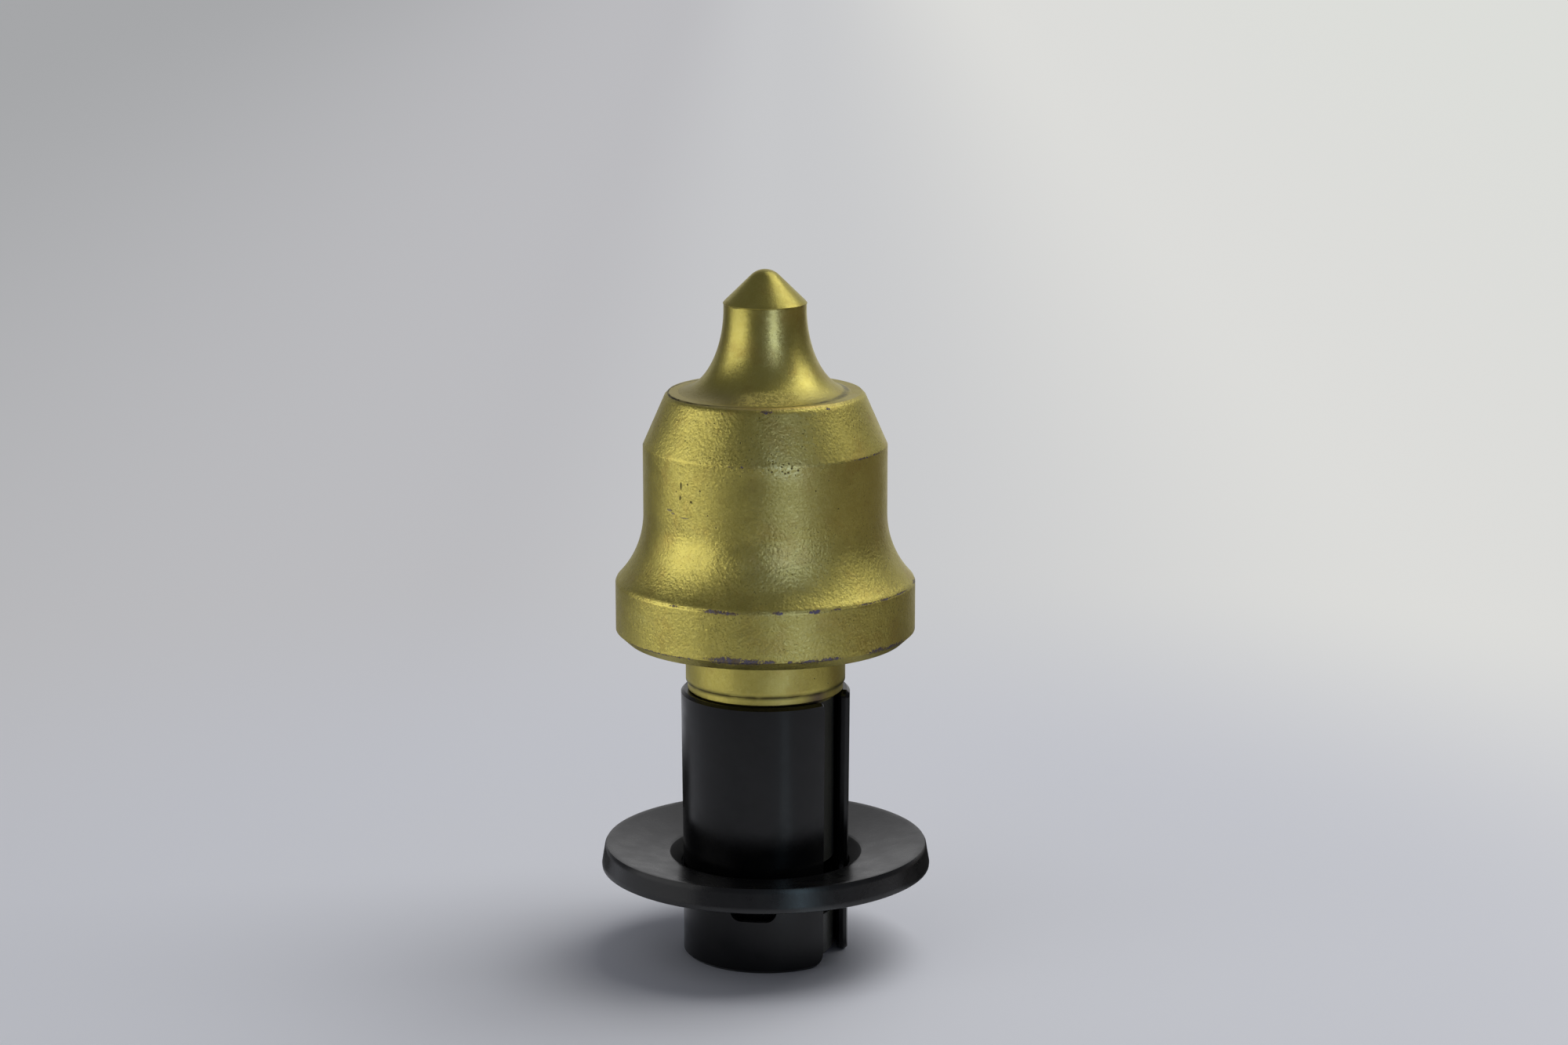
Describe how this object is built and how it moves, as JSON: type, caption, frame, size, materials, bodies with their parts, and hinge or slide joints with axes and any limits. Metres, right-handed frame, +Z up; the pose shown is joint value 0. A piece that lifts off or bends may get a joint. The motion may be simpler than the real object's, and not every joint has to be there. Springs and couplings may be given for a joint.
{
  "type": "road milling pick",
  "caption": "Conical road milling pick with a carbide point, a flanged steel body, a slit clamping sleeve and a dished wear washer, standing on its sleeve.",
  "frame": {"origin": "on the tool's axis, in the plane of the sleeve's lower end, on which the tool stands", "axes": "+Z up the tool's axis to the carbide point; the front is -Y, and the sleeve's slit opens to the front right, 28 degrees from +X towards -Y"},
  "size_m": [0.0412, 0.0412, 0.0863],
  "materials": {
    "painted_steel": "satin gold metallic paint, chipped on the edges",
    "painted_carbide": "satin gold metallic paint over sintered carbide",
    "braze": "dull copper braze, painted over at its edge",
    "spring_steel": "blackened and oiled spring strip, satin",
    "washer_steel": "blackened steel, satin, rubbed on its edges"
  },
  "bodies": {
    "sleeve": {"clamping_sleeve": "spring_steel"},
    "pick": {"pick_body": "painted_steel", "carbide_tip": "painted_carbide", "braze_joint": "braze"},
    "washer": {"wear_washer": "washer_steel"}
  },
  "joints": [
    {"name": "pick_spin", "type": "hinge", "parent": "sleeve", "child": "pick", "pos_m": [0, 0, 0], "axis": [0, 0, 1], "continuous": true},
    {"name": "washer_slide", "type": "slide", "parent": "sleeve", "child": "washer", "axis": [0, 0, 1], "range_m": [-0.0093, 0.0265]}
  ]
}
